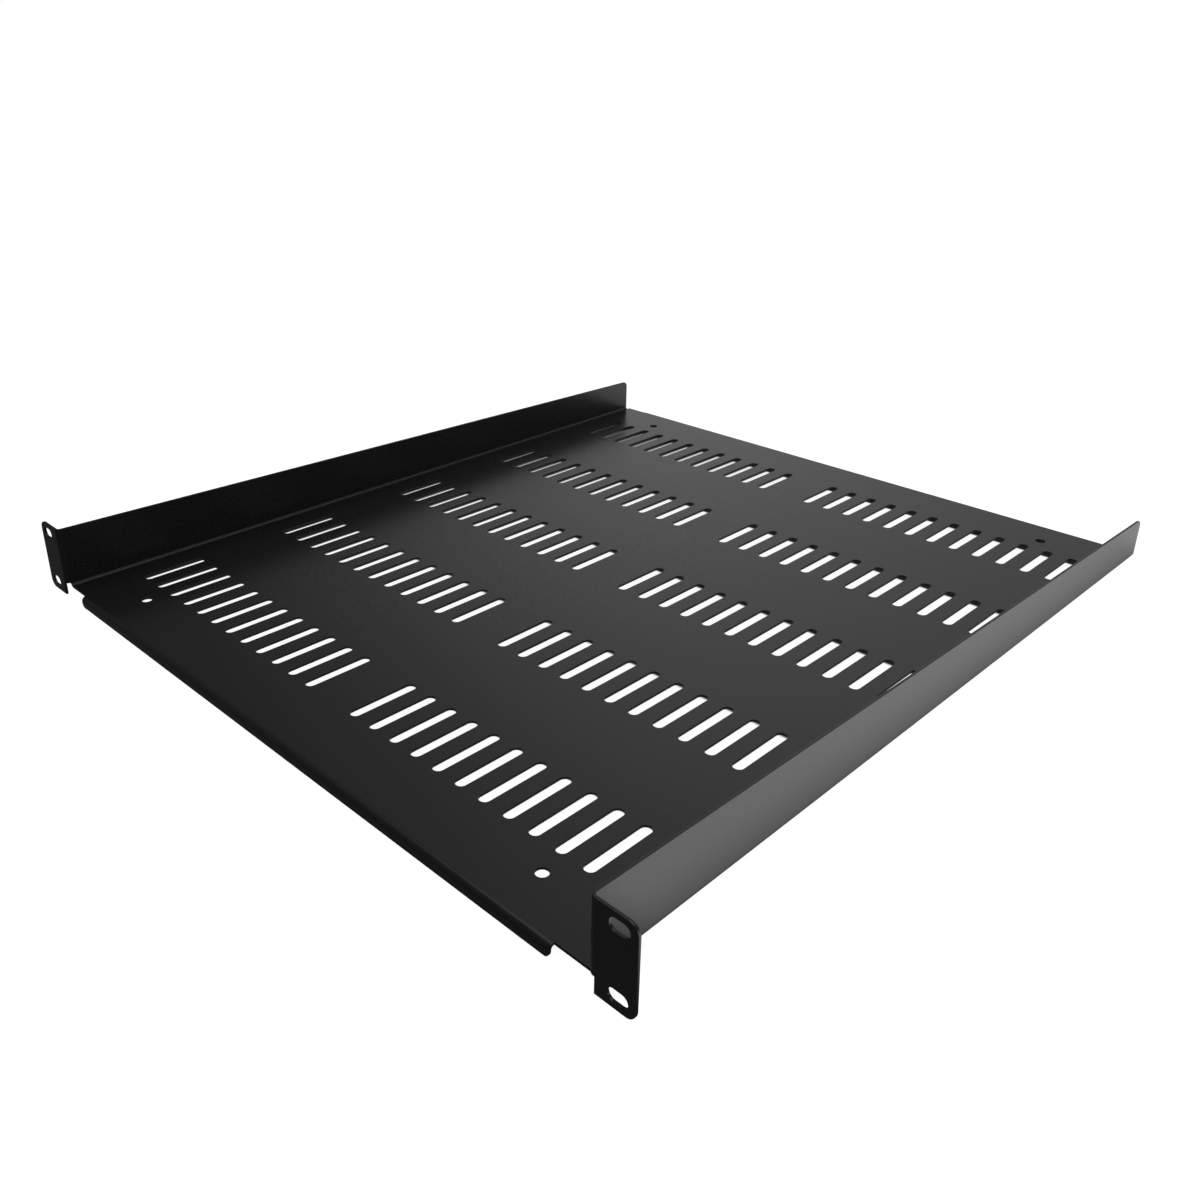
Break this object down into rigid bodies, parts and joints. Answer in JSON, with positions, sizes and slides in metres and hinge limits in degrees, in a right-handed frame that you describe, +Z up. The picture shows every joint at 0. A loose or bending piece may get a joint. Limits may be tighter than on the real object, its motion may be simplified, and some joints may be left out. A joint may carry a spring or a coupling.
{
  "type": "cantilever rack shelf",
  "caption": "Vented one-piece shelf for a nineteen inch rack: folded black steel tray with tapering side walls and front ears that bolt to the rails.",
  "frame": {"origin": "middle of the footprint, level with the lower edges of the lips and ears that the shelf rests on", "axes": "+X to the right as seen from the front, +Y from the ears to the rear, +Z up"},
  "size_m": [0.4826, 0.514, 0.0437],
  "materials": {
    "black_powder_coat": "black powder coat, satin, with a very fine grain"
  },
  "bodies": {
    "root": {"folded_shelf": "black_powder_coat"}
  },
  "joints": []
}
